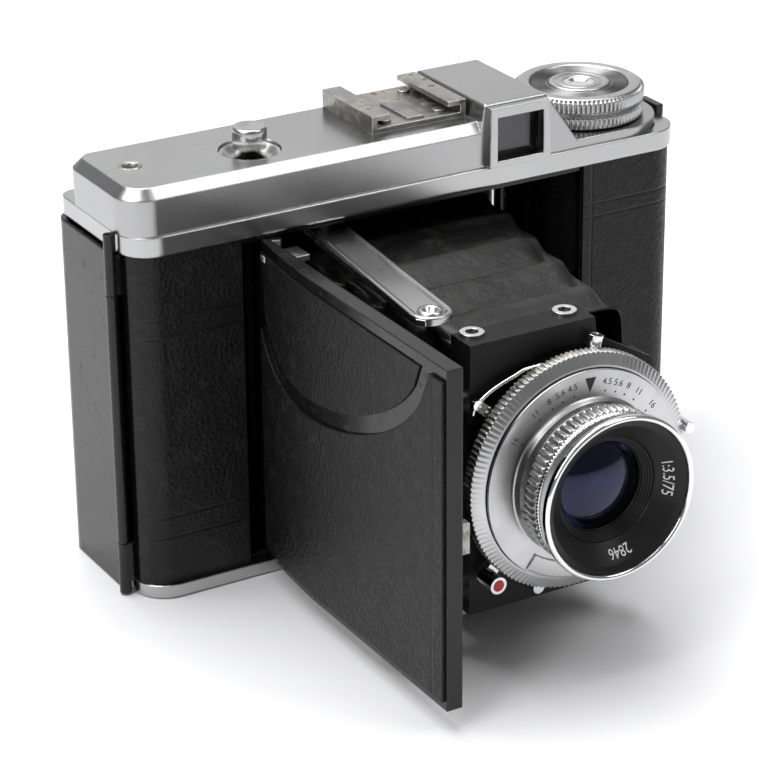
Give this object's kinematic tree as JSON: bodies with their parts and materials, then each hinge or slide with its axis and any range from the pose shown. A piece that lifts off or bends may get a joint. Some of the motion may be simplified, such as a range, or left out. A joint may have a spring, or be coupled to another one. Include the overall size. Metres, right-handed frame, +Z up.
{
  "type": "folding camera",
  "caption": "Compact folding roll-film camera with side-hinged door, bellows, leaf shutter, winding knob, hinged back and accessory shoe.",
  "frame": {"origin": "mouth of the tripod bush in the base, below the spool axes and the lens", "axes": "+X to the right seen from the front, the lens looks along -Y, +Z up"},
  "size_m": [0.1276, 0.106, 0.089],
  "materials": {
    "black_enamel": "gloss black enamel",
    "body_leather": "fine grained leathercloth",
    "satin_chrome": "satin",
    "bright_chrome": "bright",
    "worn_steel": "worn",
    "strut_steel": "satin grey",
    "clear_glass": "coated",
    "red_glass": "dark red",
    "black_paint": "matt black",
    "black_plastic": "matt",
    "bellows_cloth": "leathercloth"
  },
  "bodies": {
    "body": {"body_casting": "black_enamel", "leather_left": "body_leather", "leather_right": "body_leather", "top_band": "satin_chrome", "top_cover": "satin_chrome", "finder_frame": "bright_chrome", "finder_glass": "clear_glass", "finder_tunnel": "black_paint", "eyepiece_lens": "clear_glass", "accessory_shoe": "worn_steel", "shoe_spring": "worn_steel", "shoe_screws": "worn_steel", "button_dish": "satin_chrome", "cable_socket": "bright_chrome", "back_hinge": "black_enamel", "base_plate": "satin_chrome", "tripod_bush": "worn_steel", "door_hinge": "worn_steel", "casting_pins": "worn_steel", "bellows": "bellows_cloth"},
    "release": {"release_button": "bright_chrome"},
    "winder": {"wind_knob": "bright_chrome", "wind_shaft": "bright_chrome"},
    "reminder": {"film_dial": "satin_chrome"},
    "spool": {"take_up_spool": "black_plastic"},
    "roller_left": {"film_roller_left": "bright_chrome"},
    "roller_right": {"film_roller_right": "bright_chrome"},
    "back": {"back_door": "black_enamel", "back_leather": "body_leather", "red_window": "red_glass", "window_frame": "black_paint", "pressure_plate": "black_paint"},
    "window_slide": {"window_cover": "black_paint"},
    "latch": {"back_latch": "black_enamel"},
    "door": {"front_door": "black_enamel", "door_leather": "body_leather", "door_crescent": "body_leather", "door_rail": "worn_steel", "door_catch": "worn_steel"},
    "slider": {"door_slider": "worn_steel"},
    "strut_top": {"strut_upper": "strut_steel", "strut_rivet": "bright_chrome"},
    "strut_low": {"strut_lower": "strut_steel"},
    "board": {"lens_board": "black_paint", "board_rivets": "bright_chrome", "shutter_housing": "black_paint", "dial_plate": "satin_chrome", "flash_socket": "bright_chrome", "rear_cell": "black_paint", "rear_lens": "clear_glass", "shutter_blades": "black_paint"},
    "speeds": {"speed_ring": "bright_chrome"},
    "cocking": {"cocking_lever": "bright_chrome"},
    "aperture": {"aperture_lever": "bright_chrome"},
    "timer": {"self_timer_lever": "bright_chrome"},
    "release_arm": {"release_lever": "bright_chrome"},
    "focus": {"focus_ring": "black_paint", "front_bezel": "bright_chrome", "lens_hood": "black_paint", "front_lens": "clear_glass"}
  },
  "joints": [
    {"name": "door_fold", "type": "hinge", "parent": "body", "child": "door", "pos_m": [-0.0314, -0.0142, 0.037], "axis": [0, 0, 1], "range_deg": [0, 90]},
    {"name": "door_slide", "type": "slide", "parent": "door", "child": "slider", "axis": [0, 1, 0], "range_m": [0, 0.023]},
    {"name": "board_swing", "type": "hinge", "parent": "slider", "child": "board", "pos_m": [-0.0089, -0.0597, 0.01], "axis": [0, 0, 1], "range_deg": [-90, 0], "deforming": ["bellows"]},
    {"name": "strut_top_fold", "type": "hinge", "parent": "body", "child": "strut_top", "pos_m": [-0.018, -0.008, 0.0676], "axis": [0, 0, 1], "range_deg": [0, 94]},
    {"name": "strut_low_fold", "type": "hinge", "parent": "body", "child": "strut_low", "pos_m": [-0.018, -0.008, 0.0061], "axis": [0, 0, 1], "range_deg": [0, 94]},
    {"name": "back_swing", "type": "hinge", "parent": "body", "child": "back", "pos_m": [-0.0629, -0.008, 0.037], "axis": [0, 0, 1], "range_deg": [0, 110]},
    {"name": "window_slide", "type": "slide", "parent": "back", "child": "window_slide", "axis": [1, 0, 0], "range_m": [0, 0.01]},
    {"name": "latch_slide", "type": "slide", "parent": "body", "child": "latch", "axis": [0, 0, 1], "range_m": [0, 0.003]},
    {"name": "release_press", "type": "slide", "parent": "body", "child": "release", "axis": [0, 0, -1], "range_m": [0, 0.0022], "stiffness_N_per_m": 300},
    {"name": "wind_turn", "type": "hinge", "parent": "body", "child": "winder", "pos_m": [0.0462, 0, 0.08], "axis": [0, 0, 1], "continuous": true},
    {"name": "spool_turn", "type": "hinge", "parent": "body", "child": "spool", "pos_m": [0.0462, 0, 0.037], "axis": [0, 0, 1], "continuous": true},
    {"name": "reminder_turn", "type": "hinge", "parent": "winder", "child": "reminder", "pos_m": [0.0462, 0, 0.083], "axis": [0, 0, 1], "continuous": true},
    {"name": "roller_left_turn", "type": "hinge", "parent": "body", "child": "roller_left", "pos_m": [-0.03115, 0.0095, 0.037], "axis": [0, 0, 1], "continuous": true},
    {"name": "roller_right_turn", "type": "hinge", "parent": "body", "child": "roller_right", "pos_m": [0.03115, 0.0095, 0.037], "axis": [0, 0, 1], "continuous": true},
    {"name": "speed_turn", "type": "hinge", "parent": "board", "child": "speeds", "pos_m": [0, -0.07, 0.0369], "axis": [0, -1, 0], "range_deg": [-70, 70]},
    {"name": "cocking_swing", "type": "hinge", "parent": "board", "child": "cocking", "pos_m": [0, -0.068, 0.0369], "axis": [0, -1, 0], "range_deg": [-40, 0], "stiffness_Nm_per_rad": 0.02},
    {"name": "aperture_swing", "type": "hinge", "parent": "board", "child": "aperture", "pos_m": [0, -0.068, 0.0369], "axis": [0, -1, 0], "range_deg": [0, 50]},
    {"name": "timer_swing", "type": "hinge", "parent": "board", "child": "timer", "pos_m": [0, -0.068, 0.0369], "axis": [0, -1, 0], "range_deg": [-45, 0]},
    {"name": "release_swing", "type": "hinge", "parent": "board", "child": "release_arm", "pos_m": [0, -0.068, 0.0369], "axis": [0, -1, 0], "range_deg": [0, 12], "stiffness_Nm_per_rad": 0.02},
    {"name": "focus_turn", "type": "hinge", "parent": "board", "child": "focus", "pos_m": [0, -0.08, 0.0369], "axis": [0, -1, 0], "range_deg": [-200, 60]}
  ],
  "couplings": [
    {"joint": "door_slide", "follows": "door_fold", "m_per_rad": 0.014642},
    {"joint": "board_swing", "follows": "door_fold", "ratio": -1},
    {"joint": "strut_top_fold", "follows": "door_fold", "ratio": 1.0444},
    {"joint": "strut_low_fold", "follows": "door_fold", "ratio": 1.0444},
    {"joint": "spool_turn", "follows": "wind_turn", "ratio": 1}
  ]
}
